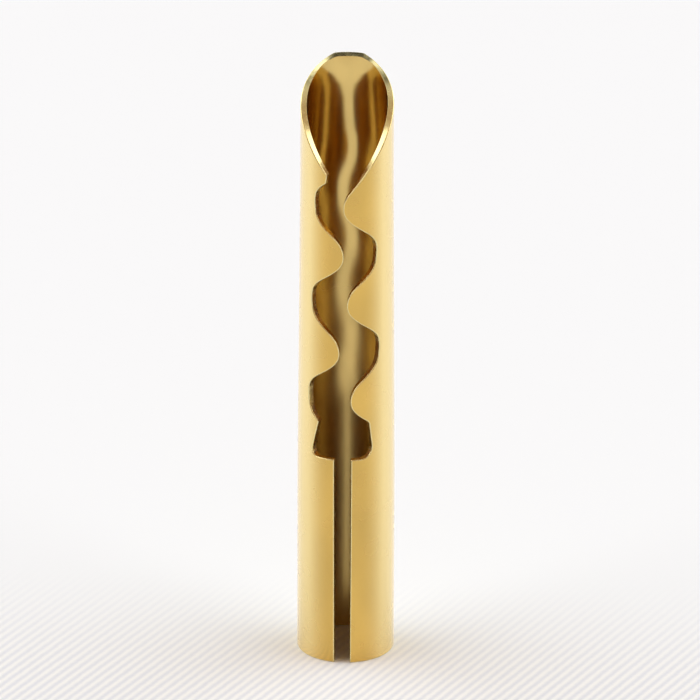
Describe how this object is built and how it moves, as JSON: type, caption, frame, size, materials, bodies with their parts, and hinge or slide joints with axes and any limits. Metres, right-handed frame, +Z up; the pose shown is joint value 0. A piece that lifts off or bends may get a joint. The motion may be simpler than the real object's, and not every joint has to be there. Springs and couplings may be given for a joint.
{
  "type": "banana plug",
  "caption": "Hollow rolled contact sleeve with a scooped nose, a wavy open seam and a slotted wire barrel at its foot.",
  "frame": {"origin": "on the sleeve's axis, in the plane of its foot", "axes": "+Z up the sleeve from its foot to its nose, -Y towards the open seam, +X to the right of the seam seen from outside"},
  "size_m": [0.0044, 0.0044, 0.0281],
  "materials": {
    "gold_plating": "satin gold plating outside, bright inside"
  },
  "bodies": {
    "root": {"plug_sleeve": "gold_plating"}
  },
  "joints": []
}
